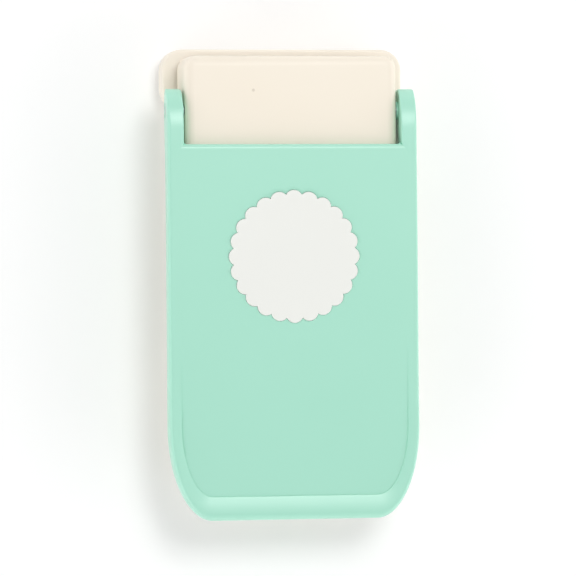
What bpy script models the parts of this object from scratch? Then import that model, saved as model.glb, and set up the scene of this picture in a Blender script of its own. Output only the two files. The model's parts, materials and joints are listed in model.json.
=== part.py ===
"""A lever paper punch that cuts a scalloped circle.

Metres, +Z up, origin on the table under the middle of the closed punch. +Y points to the mouth, where
paper goes in between the base's jaw and the upper housing, and -Y to the handle's free end. The mint
handle turns about two pins in the upper housing and is modelled closed. Its nose presses a plunger,
which drives a scalloped cutter down through a guide plate and the paper into a scalloped die.
"""

import math

import bmesh
import bpy

# The shape that is cut
scallop_count = 24
cut_width = 0.0381
lobe_centre_share = 0.863
cutting_clearance = 0.0002

# Lengths along the punch, from the mouth to the handle's free end
mouth_to_hinge = 0.0182
hinge_to_cut = 0.042
tail_length = 0.0346
handle_overhang = 0.0058

# Clearances and small shared sizes
seat_gap = 0.0003
overrun = 0.002
joint_depth = 0.0005
sharp_corner = 0.0003
weld_distance = 0.000001
flat_angle = math.radians(0.1)
sharp_angle = math.radians(35)

# Counts of straight pieces in round forms
round_steps = 32
window_steps = 48
screw_steps = 16
corner_steps = 10
small_corner_steps = 4
jaw_corner_steps = 6
ear_steps = 16
lobe_steps = 5
edge_steps = 4

# Heights of the stack
table_height = 0.008
throat_height = 0.0016
housing_height = 0.0132
roof_thickness = 0.002
handle_lift = 0.0004

# Base and its jaw
jaw_flare = 0.00515
jaw_corner = 0.006
jaw_straight = 0.0115
jaw_neck = 0.0105
base_setback = 0.0008
tail_corner_x = 0.012
tail_corner_y = 0.022
base_bottom_round = 0.0025
base_top_round = 0.0008
base_rim = 0.0024
rib_thickness = 0.0018
table_thickness = 0.0022
pocket_column_count = 4
front_pocket_row_count = 2
tail_pocket_row_count = 3
tail_pocket_inset = 0.011

# Bottom cover
cover_thickness = 0.0016
cover_sink = 0.0003
peg_radius = 0.0015
peg_length = 0.0024
peg_wall = 0.0022

# Upper housing
housing_side = 0.0036
housing_setback = 0.0025
housing_corner = 0.0034
housing_top_round = 0.003
core_roof = 0.0045
core_screw_wall = 0.0008
pin_floor = 0.00225

# Die set
die_border = 0.00495
die_thickness = 0.0026
die_sink = 0.0001
plate_corner = 0.003
window_rim = 0.002
guide_side_border = 0.0034
guide_end_border = 0.005
guide_thickness = 0.002
cutter_depth = 0.0024
cutter_length = 0.0064
shear_relief = 0.0007
throat_behind_cut = 0.00555

# Plunger and its springs
flange_side = 0.00145
flange_thickness = 0.0021
flange_corner = 0.006
press_boss_height = 0.0056
plunger_run = 0.0004
tower_offset = 0.00495
tower_wall = 0.0012
tower_height = 0.0042
tower_roof = 0.0012
plunger_rib_height = 0.003
plunger_rib_spacing = 0.0084
plunger_rib_thickness = 0.002
spring_radius = 0.0029
spring_wire = 0.0003
spring_turns = 4
spring_points_per_turn = 9
spring_side_gap = 0.0005
pin_radius = 0.0015
pin_short_of_roof = 0.0009

# Handle
handle_side_gap = 0.0004
handle_wall = 0.0032
handle_plate = 0.002
handle_rim_height = 0.0008
handle_rim_width = 0.0035
handle_end_lip = 0.0068
handle_edge_round = 0.0034
handle_corner_x = 0.0125
handle_corner_y = 0.027
handle_draft = 0.0012
fork_depth = 0.0098
skirt_depth = 0.009
skirt_break_run = 0.0201
arm_width = 0.0051
ear_spare = 0.006
arm_slope_run = 0.0076
fork_corner = 0.001
hinge_drop = 0.0042
ear_radius = 0.0062
nose_radius = 0.002
nose_length = 0.016
marker_thickness = 0.001
marker_proud = 0.0003
marker_round = 0.0003

# Hinge pins
hinge_pin_radius = 0.002
hinge_pin_length = 0.0114
hinge_pin_chamfer = 0.0004
hinge_pin_inset = 0.0006

# Handle catch and lock
catch_width = 0.008
catch_thickness = 0.004
catch_from_tail = 0.0155
catch_swing_room = 0.0006
catch_floor = 0.0013
barb_reach = 0.0029
barb_height = 0.0017
lock_gap = 0.0003
lock_width = 0.012
lock_thickness = 0.0022
lock_travel = 0.003
lock_clear_of_barb = 0.0012
button_width = 0.016
button_thickness = 0.0021
button_height = 0.004
button_ridge_count = 3
ridge_height = 0.0004
ridge_half_width = 0.0003

# Screws
screw_shank = 0.0013
screw_bore_gap = 0.0003
flat_head_radius = 0.0025
flat_head_rim = 0.0003
guide_screw_length = 0.0065
die_screw_length = 0.0042
pan_head_radius = 0.0027
pan_head_height = 0.0018
pan_head_top_share = 0.6
pan_head_side_share = 0.55
housing_screw_length = 0.0125
plunger_screw_length = 0.0075
plunger_screw_inset = 0.00555
plunger_screw_clear = 0.0018
screw_tip_share = 0.5
housing_screw_inset = 0.0092
housing_screw_clear = 0.0041
housing_screw_from_tail = 0.0135
guide_screw_inset = 0.0034
die_screw_inset = 0.0034
recess_length = 0.0026
recess_width = 0.0006
recess_depth = 0.0009
recess_turn = math.radians(12)

# Widths and lengths that follow from the cut shape
die_width = cut_width + 2 * die_border
guide_width = die_width + 2 * guide_side_border
housing_width = guide_width + 2 * housing_side
base_width = housing_width - 2 * base_setback
jaw_width = base_width + 2 * jaw_flare
handle_width = housing_width + 2 * (handle_side_gap + arm_width)
flange_width = cut_width + 2 * flange_side
tower_spacing = cut_width + 2 * tower_offset
flange_length = tower_spacing + 2 * flange_corner
guide_length = flange_length + 2 * guide_end_border
plunger_screw_spacing = cut_width - 2 * plunger_screw_inset
press_boss_radius = plunger_screw_spacing / 2 - pan_head_radius - plunger_screw_clear
punch_length = mouth_to_hinge + hinge_to_cut + guide_length / 2 + tail_length + handle_overhang

# Places along the punch, from its middle
jaw_end_y = punch_length / 2
handle_end_y = -punch_length / 2
housing_front_y = jaw_end_y - housing_setback
hinge_y = jaw_end_y - mouth_to_hinge
cut_centre_y = hinge_y - hinge_to_cut
guide_low_y = cut_centre_y - guide_length / 2
guide_high_y = cut_centre_y + guide_length / 2
body_tail_y = guide_low_y - tail_length
throat_end_y = cut_centre_y - cut_width / 2 - throat_behind_cut
handle_rear_y = hinge_y - fork_depth
skirt_break_y = hinge_y - skirt_break_run
arm_slope_y = hinge_y - arm_slope_run
catch_y = body_tail_y + catch_from_tail
housing_screw_x = base_width / 2 - housing_screw_inset
housing_screw_front_y = guide_low_y - housing_screw_clear
housing_screw_tail_y = body_tail_y + housing_screw_from_tail

# Heights and places that follow from the sizes above
upper_floor = table_height + throat_height
guide_top = upper_floor + guide_thickness
housing_top = upper_floor + housing_height
roof_underside = housing_top - roof_thickness
hinge_height = housing_top - hinge_drop
die_top = table_height - die_sink
die_bottom = die_top - die_thickness
die_screw_face = die_top - flat_head_rim
die_pocket_floor = die_bottom - seat_gap
cutter_bottom = table_height - cutter_depth
cutter_top = cutter_bottom + cutter_length
flange_bottom = cutter_top + seat_gap
flange_top = flange_bottom + flange_thickness
press_boss_top = flange_top + press_boss_height
tower_top = flange_top + tower_height
handle_underside = housing_top + handle_lift
handle_field = handle_underside + handle_plate
handle_top = handle_field + handle_rim_height
skirt_bottom = handle_top - skirt_depth
ear_bottom = hinge_height - ear_radius
cut_radius = cut_width / 2
lobe_radius = cut_radius * (1 - lobe_centre_share)
window_radius = cut_radius + window_rim
tower_bore = spring_radius + spring_wire + spring_side_gap
tower_radius = tower_bore + tower_wall
tower_ceiling = tower_top - tower_roof
screw_bore = screw_shank + screw_bore_gap
fork_half = handle_width / 2 - arm_width
catch_bottom = upper_floor + catch_floor + seat_gap
barb_top = catch_bottom + barb_height
lock_bottom = barb_top + lock_gap
lock_top = lock_bottom + lock_thickness
catch_back = catch_y - catch_thickness / 2
barb_tip = catch_back - barb_reach
lock_front = barb_tip - lock_clear_of_barb
button_front = body_tail_y - lock_travel - seat_gap

MINT = (173, 228, 207)
CREAM = (247, 238, 223)
WHITE = (239, 240, 235)
STEEL = (176, 178, 180)
ZINC = (150, 152, 155)


def clear_scene():
    """Removes every object, so that the script starts from nothing."""
    for obj in list(bpy.data.objects):
        bpy.data.objects.remove(obj)


def new_collection(name):
    collection = bpy.data.collections.new(name)
    bpy.context.scene.collection.children.link(collection)
    return collection


clear_scene()
PARTS = new_collection("scalloped_circle_punch")
CUTTERS = new_collection("cutters")


def linear(channel):
    """One sRGB channel, 0 to 255, as the linear value that a shader takes."""
    share = channel / 255
    return share / 12.92 if share <= 0.04045 else ((share + 0.055) / 1.055) ** 2.4


def material(name, colour, roughness, metallic=0.0):
    made = bpy.data.materials.new(name)
    made.use_nodes = True
    shader = made.node_tree.nodes["Principled BSDF"]
    shader.inputs["Base Color"].default_value = (*map(linear, colour), 1)
    shader.inputs["Roughness"].default_value = roughness
    shader.inputs["Metallic"].default_value = metallic
    return made


def arc(centre, radii, start, end, steps):
    """Points on an ellipse, in degrees counter-clockwise from +X, both ends included."""
    turn = [math.radians(start + (end - start) * step / steps) for step in range(steps + 1)]
    return [
        (centre[0] + radii[0] * math.cos(angle), centre[1] + radii[1] * math.sin(angle))
        for angle in turn
    ]


def mirrored(right_side):
    """Closes an outline symmetric about X = 0 from its right side, listed counter-clockwise."""
    return right_side + [(-x, y) for x, y in reversed(right_side)]


def box_outline(width, length, centre_y, corner, steps=small_corner_steps):
    """A rectangle with round corners, centred on X = 0."""
    x = width / 2 - corner
    low = centre_y - length / 2 + corner
    high = centre_y + length / 2 - corner
    radii = (corner, corner)
    return mirrored(arc((x, low), radii, -90, 0, steps) + arc((x, high), radii, 0, 90, steps))


def scallop_outline(spare=0.0):
    """The scalloped circle: equal round lobes on a ring, each moved outward by the spare width."""
    ring = cut_radius - lobe_radius
    radius = lobe_radius + spare
    half_pitch = math.pi / scallop_count
    notch_out = math.sqrt(radius**2 - (ring * math.sin(half_pitch)) ** 2)
    reach = math.atan2(ring * math.sin(half_pitch), notch_out) + half_pitch
    points = []
    for lobe in range(scallop_count):
        middle = math.pi / 2 + lobe * 2 * half_pitch
        for step in range(lobe_steps):
            angle = middle + reach * (2 * step / lobe_steps - 1)
            x = ring * math.cos(middle) + radius * math.cos(angle)
            y = ring * math.sin(middle) + radius * math.sin(angle)
            points.append((x, y + cut_centre_y))
    return points


def plate(name, outline, bottom, top, collection=CUTTERS):
    """A flat outline, drawn as a filled 2D curve, extruded between two heights and made a mesh."""
    curve = bpy.data.curves.new(name, "CURVE")
    curve.dimensions = "2D"
    curve.fill_mode = "BOTH"
    curve.extrude = (top - bottom) / 2
    spline = curve.splines.new("POLY")
    spline.points.add(len(outline) - 1)
    for point, (x, y) in zip(spline.points, outline):
        point.co = (x, y, 0, 1)
    spline.use_cyclic_u = True
    drawn = bpy.data.objects.new(name + "_outline", curve)
    drawn.location.z = (bottom + top) / 2
    CUTTERS.objects.link(drawn)
    bpy.context.view_layer.update()
    graph = bpy.context.evaluated_depsgraph_get()
    mesh = bpy.data.meshes.new_from_object(drawn.evaluated_get(graph))
    made = bpy.data.objects.new(name, mesh)
    made.matrix_world = drawn.matrix_world
    collection.objects.link(made)
    bpy.data.objects.remove(drawn)
    tidy_mesh(mesh)
    return made


def tidy_mesh(mesh):
    """Welds loose caps, joins the triangles of each flat face and turns all faces outward."""
    shape = bmesh.new()
    shape.from_mesh(mesh)
    bmesh.ops.remove_doubles(shape, verts=shape.verts, dist=weld_distance)
    bmesh.ops.dissolve_limit(
        shape, angle_limit=flat_angle, verts=shape.verts, edges=shape.edges
    )
    bmesh.ops.recalc_face_normals(shape, faces=shape.faces)
    shape.to_mesh(mesh)
    shape.free()


def side_plate(name, outline, half_width):
    """A side view, as (Y, Z) points, extruded across the punch to both sides of X = 0."""
    made = plate(name, outline, -half_width, half_width)
    made.rotation_euler = (math.pi / 2, 0, math.pi / 2)
    return made


def turned(name, profile, collection=CUTTERS, steps=screw_steps):
    """A profile of (radius, height) points, listed down its outer side, turned about Z."""
    mesh = bpy.data.meshes.new(name)
    edges = [(index, index + 1) for index in range(len(profile) - 1)]
    mesh.from_pydata([(radius, 0, height) for radius, height in profile], edges, [])
    made = bpy.data.objects.new(name, mesh)
    collection.objects.link(made)
    turn = made.modifiers.new("Turn", "SCREW")
    turn.steps = steps
    turn.render_steps = steps
    turn.use_merge_vertices = True
    turn.merge_threshold = weld_distance
    return made


def drum(name, radius, bottom, top, place=(0, 0), steps=screw_steps, collection=CUTTERS):
    """An upright cylinder between two heights."""
    profile = [(0, top), (radius, top), (radius, bottom), (0, bottom)]
    made = turned(name, profile, collection, steps)
    made.location = (*place, 0)
    return made


def block(name, x_range, y_range, z_range):
    """A box between the given limits."""
    bpy.ops.mesh.primitive_cube_add(size=1)
    made = bpy.context.object
    made.name = name
    for collection in list(made.users_collection):
        collection.objects.unlink(made)
    CUTTERS.objects.link(made)
    for axis, (low, high) in enumerate((x_range, y_range, z_range)):
        made.scale[axis] = high - low
        made.location[axis] = (low + high) / 2
    return made


def combine(target, other, operation, label):
    step = target.modifiers.new(label, "BOOLEAN")
    step.operation = operation
    step.solver = "EXACT"
    step.object = other
    if other.name in CUTTERS.objects:
        other.hide_render = True
        other.display_type = "WIRE"


def cut(target, *others):
    for other in others:
        combine(target, other, "DIFFERENCE", "Cut " + other.name)


def join(target, *others):
    for other in others:
        combine(target, other, "UNION", "Join " + other.name)


def round_edges(target, radii_by_height):
    """Rounds the level edges at each given height with its own radius."""
    widest = max(radii_by_height.values())
    shape = bmesh.new()
    shape.from_mesh(target.data)
    weight = shape.edges.layers.float.new("bevel_weight_edge")
    for height, radius in radii_by_height.items():
        level = height - target.location.z
        for edge in shape.edges:
            if all(abs(corner.co.z - level) < weld_distance for corner in edge.verts):
                edge[weight] = radius / widest
    shape.to_mesh(target.data)
    shape.free()
    rounding = target.modifiers.new("Round edges", "BEVEL")
    rounding.limit_method = "WEIGHT"
    rounding.width = widest
    rounding.segments = edge_steps
    rounding.use_clamp_overlap = False


def finish(target, surface, parent=None):
    """Gives a finished piece its material, smooth shading with sharp edges, and its parent."""
    target.data.materials.clear()
    target.data.materials.append(surface)
    target.data.shade_smooth()
    target.data.set_sharp_from_angle(angle=sharp_angle)
    if parent:
        target.parent = parent
        target.matrix_parent_inverse = parent.matrix_world.inverted()
    return target


def joint_axis(name, place):
    """An empty on a joint's axis, which carries the pieces that move with it."""
    axis = bpy.data.objects.new(name, None)
    axis.location = place
    PARTS.objects.link(axis)
    bpy.context.view_layer.update()
    return axis


def body_outline(width, front_y, front_corner, inset=0.0):
    """The long body seen from above: round front corners and drawn-out elliptical tail corners."""
    half = width / 2 - inset
    front = front_y - inset
    tail = body_tail_y + inset
    corner = max(front_corner - inset, sharp_corner)
    tail_x = tail_corner_x - inset
    tail_y = tail_corner_y - inset
    back = arc((half - tail_x, tail + tail_y), (tail_x, tail_y), -90, 0, corner_steps)
    mouth = arc((half - corner, front - corner), (corner, corner), 0, 90, small_corner_steps)
    return mirrored(back + mouth)


def base_outline(inset=0.0):
    """The base seen from above: the body's tail, flaring in an S-curve to the wider jaw."""
    half = base_width / 2 - inset
    wide = jaw_width / 2 - inset
    tail = body_tail_y + inset
    tail_x = tail_corner_x - inset
    tail_y = tail_corner_y - inset
    corner = jaw_corner - inset
    end = jaw_end_y - inset
    neck_top = jaw_end_y - jaw_straight
    back = arc((half - tail_x, tail + tail_y), (tail_x, tail_y), -90, 0, corner_steps)
    neck = []
    for step in range(corner_steps + 1):
        share = step / corner_steps
        swing = (1 - math.cos(math.pi * share)) / 2
        neck.append((half + (wide - half) * swing, neck_top - jaw_neck * (1 - share)))
    jaw = arc((wide - corner, end - corner), (corner, corner), 0, 90, jaw_corner_steps)
    return mirrored(back + neck + jaw)


def handle_outline(inset=0.0, end_inset=None, rear=None):
    """The handle seen from above: drawn-out corners at the free end, and running on past its ears."""
    end_inset = inset if end_inset is None else end_inset
    rear = hinge_y + ear_radius + ear_spare if rear is None else rear
    half = handle_width / 2 - inset
    radii = (handle_corner_x - inset, handle_corner_y - end_inset)
    end = handle_end_y + end_inset
    side = arc((half - radii[0], end + radii[1]), radii, -90, 0, corner_steps)
    corner = ear_spare if inset == 0 else sharp_corner
    back = arc((half - corner, rear - corner), (corner, corner), 0, 90, small_corner_steps)
    return mirrored(side + back)


def tangent_angle(point, above):
    """Where a line from a point touches the ear's circle, in degrees, on its upper or lower side."""
    across = point[0] - hinge_y
    up = point[1] - hinge_height
    spread = math.acos(ear_radius / math.hypot(across, up))
    side = -spread if above else spread
    return (math.degrees(math.atan2(up, across) + side) + 180) % 360 - 180


def flat_head(spare=0.0):
    """The profile of a countersunk head, from its outer face to its shank, each wider by the spare."""
    wide = flat_head_radius + spare
    shank = screw_shank + spare
    rim = flat_head_rim + spare
    return [(wide, 0), (wide, -rim), (shank, -rim - wide + shank)]


def pan_head():
    """The profile of a rounded head, from its outer face to its shank."""
    wide = pan_head_radius
    crown = wide * pan_head_top_share
    side = -pan_head_height * (1 - pan_head_side_share)
    return [(crown, 0), (wide, side), (wide, -pan_head_height), (screw_shank, -pan_head_height)]


def cross_outline(place):
    """A cross recess seen from above: two equal slots across each other, turned as the screw ended up."""
    far = recess_length / 2
    near = recess_width / 2
    points = []
    for quarter in range(4):
        turn = recess_turn + quarter * math.pi / 2
        for x, y in ((far, near), (near, near), (near, far)):
            across = x * math.cos(turn) - y * math.sin(turn)
            along = x * math.sin(turn) + y * math.cos(turn)
            points.append((place[0] + across, place[1] + along))
    return points


def screw(name, place, head, length, head_down, surface, parent=None):
    """A cross-recessed screw whose head's outer face lies at the given place."""
    tip = screw_shank * screw_tip_share
    profile = [(0, 0), *head, (screw_shank, tip - length), (tip, -length), (0, -length)]
    made = turned(name, profile, PARTS)
    made.location = place
    if head_down:
        made.rotation_euler.x = math.pi
    inward = recess_depth if head_down else -recess_depth
    outward = -overrun if head_down else overrun
    low, high = sorted((place[2] + inward, place[2] + outward))
    cut(made, plate(name + "_recess", cross_outline(place), low, high))
    return finish(made, surface, parent)


def flat_sink(name, place, length, head_down):
    """The countersink and bore that a flat screw needs, wider than the screw by the bore's gap."""
    head = flat_head(screw_bore_gap)
    profile = [(0, overrun), (head[0][0], overrun), *head[1:], (screw_bore, -length), (0, -length)]
    made = turned(name, profile)
    made.location = place
    if head_down:
        made.rotation_euler.x = math.pi
    return made


def pocket_grid(name, width, y_range, rows, z_range):
    """Cutters for rows of equal core-outs with thin ribs left between them."""
    low_y, high_y = y_range
    pitch_x = (width + rib_thickness) / pocket_column_count
    pitch_y = (high_y - low_y + rib_thickness) / rows
    cutters = []
    for column in range(pocket_column_count):
        left = -width / 2 + column * pitch_x
        for row in range(rows):
            near = low_y + row * pitch_y
            cutters.append(
                block(
                    f"{name}_{column}_{row}",
                    (left, left + pitch_x - rib_thickness),
                    (near, near + pitch_y - rib_thickness),
                    z_range,
                )
            )
    return cutters


def mirrored_places(x, *ys):
    return [(side * x, y) for y in ys for side in (-1, 1)]


housing_screw_places = mirrored_places(housing_screw_x, housing_screw_tail_y, housing_screw_front_y)
guide_screw_places = mirrored_places(
    guide_width / 2 - guide_screw_inset,
    guide_low_y + guide_screw_inset,
    guide_high_y - guide_screw_inset,
)
die_low_y = cut_centre_y - die_width / 2
die_high_y = cut_centre_y + die_width / 2
die_screw_places = mirrored_places(
    die_width / 2 - die_screw_inset, die_low_y + die_screw_inset, die_high_y - die_screw_inset
)
cover_inset = base_bottom_round + base_rim
peg_places = mirrored_places(
    base_width / 2 - cover_inset - peg_wall, die_low_y - seat_gap, die_high_y + seat_gap
)
tower_places = [(0, cut_centre_y + side * tower_spacing / 2) for side in (-1, 1)]
plunger_screw_places = [(0, cut_centre_y + side * plunger_screw_spacing / 2) for side in (-1, 1)]


def make_base_housing(surface):
    """The lower shell: jaw, paper table, die pocket, chad window and a ribbed underside."""
    base = plate("base_housing", base_outline(), 0, table_height, PARTS)
    round_edges(base, {0: base_bottom_round, table_height: base_top_round})
    cover_room = cover_sink + cover_thickness + seat_gap
    cut(base, plate("cover_recess", base_outline(cover_inset), -overrun, cover_room))
    pocket = box_outline(
        die_width + 2 * seat_gap, die_width + 2 * seat_gap, cut_centre_y, plate_corner
    )
    cut(base, plate("die_pocket", pocket, die_pocket_floor, table_height + overrun))
    centre = (0, cut_centre_y)
    cut(base, drum("base_window", window_radius, -overrun, table_height, centre, window_steps))
    inner = base_width - 2 * (cover_inset + rib_thickness)
    ceiling = table_height - table_thickness
    front_low = die_high_y + peg_wall + peg_radius + rib_thickness
    front_high = jaw_end_y - cover_inset - rib_thickness
    tail_low = body_tail_y + tail_pocket_inset
    tail_high = die_low_y - peg_wall - peg_radius - rib_thickness
    floor = cover_room - seat_gap
    heights = (floor, ceiling)
    cut(base, *pocket_grid("front_core", inner, (front_low, front_high), front_pocket_row_count, heights))
    cut(base, *pocket_grid("tail_core", inner, (tail_low, tail_high), tail_pocket_row_count, heights))
    for number, place in enumerate(housing_screw_places):
        wide = pan_head_radius + screw_bore_gap
        cut(base, drum(f"base_screw_sink_{number}", wide, floor, ceiling, place))
        cut(base, drum(f"base_screw_bore_{number}", screw_bore, 0, table_height + overrun, place))
    for number, place in enumerate(peg_places):
        wide = peg_radius + seat_gap
        depth = cover_room + peg_length
        cut(base, drum(f"peg_socket_{number}", wide, 0, depth, place))
    for number, (x, y) in enumerate(die_screw_places):
        place = (x, y, die_screw_face)
        cut(base, flat_sink(f"base_die_sink_{number}", place, die_screw_length + seat_gap, False))
    return finish(base, surface)


def make_bottom_cover(surface):
    """A flat cover inside the base's rim, with a window for the cut shapes and four pegs."""
    top = cover_sink + cover_thickness
    cover = plate("bottom_cover", base_outline(cover_inset + seat_gap), cover_sink, top, PARTS)
    for number, place in enumerate(peg_places):
        root = top - joint_depth
        join(cover, drum(f"cover_peg_{number}", peg_radius, root, top + peg_length, place))
    centre = (0, cut_centre_y)
    wide = window_radius + seat_gap
    cut(cover, drum("cover_window", wide, -overrun, table_height, centre, window_steps))
    return finish(cover, surface)


def make_upper_housing(surface):
    """The upper shell: a round-edged block with the plunger's well, pin bores, core-outs and lock slot."""
    outline = body_outline(housing_width, housing_front_y, housing_corner)
    housing = plate("upper_housing", outline, upper_floor, housing_top, PARTS)
    round_edges(housing, {housing_top: housing_top_round})
    recess = box_outline(
        guide_width + 2 * seat_gap, guide_length + 2 * seat_gap, cut_centre_y, plate_corner
    )
    below = upper_floor - overrun
    cut(housing, plate("guide_recess", recess, below, guide_top + seat_gap))
    well = box_outline(
        flange_width + 2 * plunger_run,
        flange_length + 2 * plunger_run,
        cut_centre_y,
        flange_corner,
    )
    cut(housing, plate("plunger_well", well, below, roof_underside))
    window_length = tower_spacing + 2 * (tower_radius + plunger_run)
    window = box_outline(
        2 * (press_boss_radius + plunger_run), window_length, cut_centre_y, flange_corner
    )
    cut(housing, plate("plunger_window", window, guide_top, housing_top + overrun))
    inner = housing_width - 2 * housing_corner
    front_low = guide_high_y + seat_gap + rib_thickness
    front_high = housing_front_y - housing_corner
    ceiling = hinge_height - hinge_pin_radius - pin_floor
    cut(housing, *pocket_grid("mouth_core", inner, (front_low, front_high), 1, (below, ceiling)))
    for side in (-1, 1):
        inner_x = lock_width / 2 + seat_gap + rib_thickness
        outer_x = housing_screw_x - screw_bore - core_screw_wall
        x_range = sorted((side * inner_x, side * outer_x))
        y_range = (housing_screw_tail_y, guide_low_y - seat_gap - rib_thickness)
        core = block(f"tail_core_{side}", x_range, y_range, (below, housing_top - core_roof))
        cut(housing, core)
        pin_deep = housing_width / 2 + hinge_pin_inset - hinge_pin_length
        bore = drum(
            f"pin_bore_{side}", hinge_pin_radius + seat_gap, pin_deep - seat_gap, handle_width
        )
        bore.location = (0, hinge_y, hinge_height)
        bore.rotation_euler.y = side * math.pi / 2
        cut(housing, bore)
    slot_half = lock_width / 2 + seat_gap
    slot_front = catch_y + catch_thickness / 2 + catch_swing_room
    slot_floor = upper_floor + catch_floor
    catch_slot = block(
        "catch_slot",
        (-slot_half, slot_half),
        (lock_front, slot_front),
        (slot_floor, housing_top + overrun),
    )
    lock_channel = block(
        "lock_channel",
        (-slot_half, slot_half),
        (body_tail_y - overrun, catch_y),
        (lock_bottom - seat_gap, lock_top + seat_gap),
    )
    cut(housing, catch_slot, lock_channel)
    for number, place in enumerate(housing_screw_places):
        top = table_height - table_thickness + housing_screw_length
        cut(housing, drum(f"housing_bore_{number}", screw_bore, below, top, place))
    for number, (x, y) in enumerate(guide_screw_places):
        place = (x, y, upper_floor)
        cut(housing, flat_sink(f"housing_guide_sink_{number}", place, guide_screw_length + seat_gap, True))
    return finish(housing, surface)


def make_throat_spacer(surface):
    """The strip that holds the two shells apart and stops the paper at the throat's end."""
    outline = body_outline(base_width, throat_end_y, sharp_corner)
    bottom = table_height + seat_gap
    spacer = plate("throat_spacer", outline, bottom, upper_floor - seat_gap, PARTS)
    for number, place in enumerate(housing_screw_places):
        cut(spacer, drum(f"spacer_bore_{number}", screw_bore, 0, housing_top, place))
    return finish(spacer, surface)


def make_die_set(steel, zinc, ram):
    """The die, the guide plate over it and the scalloped cutter that slides through both."""
    hole = plate("scallop_hole", scallop_outline(cutting_clearance), 0, housing_top)
    outline = box_outline(die_width, die_width, cut_centre_y, plate_corner)
    die = plate("die_plate", outline, die_bottom, die_top, PARTS)
    cut(die, hole)
    for number, (x, y) in enumerate(die_screw_places):
        cut(die, flat_sink(f"die_sink_{number}", (x, y, die_screw_face), die_screw_length, False))
    finish(die, steel)
    outline = box_outline(guide_width, guide_length, cut_centre_y, plate_corner)
    guide = plate("guide_plate", outline, upper_floor, guide_top, PARTS)
    cut(guide, hole)
    for number, (x, y) in enumerate(guide_screw_places):
        cut(guide, flat_sink(f"guide_sink_{number}", (x, y, upper_floor), guide_screw_length, True))
    for number, place in enumerate(tower_places):
        cut(guide, drum(f"pin_hole_{number}", pin_radius + seat_gap, 0, housing_top, place))
    finish(guide, steel)
    cutter = plate("punch_cutter", scallop_outline(), cutter_bottom, cutter_top, PARTS)
    far = cut_radius + overrun
    drop = shear_relief * overrun / cut_radius
    ridge = [
        (cut_centre_y - far, cutter_bottom - drop),
        (cut_centre_y + far, cutter_bottom - drop),
        (cut_centre_y, cutter_bottom + shear_relief),
    ]
    cut(cutter, side_plate("shear_cut", ridge, far))
    for number, place in enumerate(plunger_screw_places):
        deep = flange_top + pan_head_height - plunger_screw_length
        cut(cutter, drum(f"cutter_bore_{number}", screw_bore, deep, cutter_top + overrun, place))
    finish(cutter, zinc, ram)


def make_plunger(surface, ram):
    """The pressed piece: a flange that the roof keeps in, spring towers, ribs and the press boss."""
    outline = box_outline(flange_width, flange_length, cut_centre_y, flange_corner)
    plunger = plate("plunger", outline, flange_bottom, flange_top, PARTS)
    root = flange_top - joint_depth
    rib_top = flange_top + plunger_rib_height
    for side in (-1, 1):
        middle = side * plunger_rib_spacing / 2
        half = plunger_rib_thickness / 2
        rib = block(
            f"plunger_rib_{side}",
            (middle - half, middle + half),
            (cut_centre_y - tower_spacing / 2, cut_centre_y + tower_spacing / 2),
            (root, rib_top),
        )
        join(plunger, rib)
    for number, place in enumerate(tower_places):
        join(plunger, drum(f"tower_{number}", tower_radius, root, tower_top, place, round_steps))
    centre = (0, cut_centre_y)
    join(plunger, drum("press_boss", press_boss_radius, root, press_boss_top, centre, round_steps))
    for number, place in enumerate(tower_places):
        low = flange_bottom - overrun
        cut(plunger, drum(f"tower_bore_{number}", tower_bore, low, tower_ceiling, place, round_steps))
    for number, place in enumerate(plunger_screw_places):
        low = flange_bottom - overrun
        cut(plunger, drum(f"plunger_bore_{number}", screw_bore, low, housing_top, place))
    return finish(plunger, surface, ram)


def make_springs(surface):
    """Two coil springs, each one unbroken tube, and the pins that they stand round."""
    low = guide_top + seat_gap + spring_wire
    high = tower_ceiling - seat_gap - spring_wire
    steps = spring_turns * spring_points_per_turn
    pitch = (high - low) / spring_turns
    coil = []
    for step in range(steps + 1):
        angle = 2 * math.pi * step / spring_points_per_turn
        height = low + (high - low) * step / steps
        coil.append((spring_radius * math.cos(angle), spring_radius * math.sin(angle), height))
    gap = least_gap(coil)
    print(f"Spring pitch {pitch * 1000:.2f} mm, least gap between turns {gap * 1000:.2f} mm")
    for label, (x, y) in zip(("rear", "front"), tower_places):
        name = f"return_spring_{label}"
        curve = bpy.data.curves.new(name, "CURVE")
        curve.dimensions = "3D"
        curve.bevel_depth = spring_wire
        curve.bevel_resolution = 1
        curve.use_fill_caps = True
        spline = curve.splines.new("POLY")
        spline.points.add(steps)
        for point, place in zip(spline.points, coil):
            point.co = (*place, 1)
        spring = bpy.data.objects.new(name, curve)
        spring.location = (x, y, 0)
        PARTS.objects.link(spring)
        curve.materials.append(surface)
        top = tower_ceiling - pin_short_of_roof
        pin = drum(f"spring_pin_{label}", pin_radius, upper_floor + seat_gap, top, collection=PARTS)
        pin.location = (x, y, 0)
        finish(pin, surface)


def least_gap(coil):
    """The least clear distance between points of the coil that lie more than half a turn apart."""
    apart = spring_points_per_turn // 2 + 1
    distances = [
        math.dist(first, second)
        for index, first in enumerate(coil)
        for second in coil[index + apart :]
    ]
    return min(distances) - 2 * spring_wire


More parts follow.
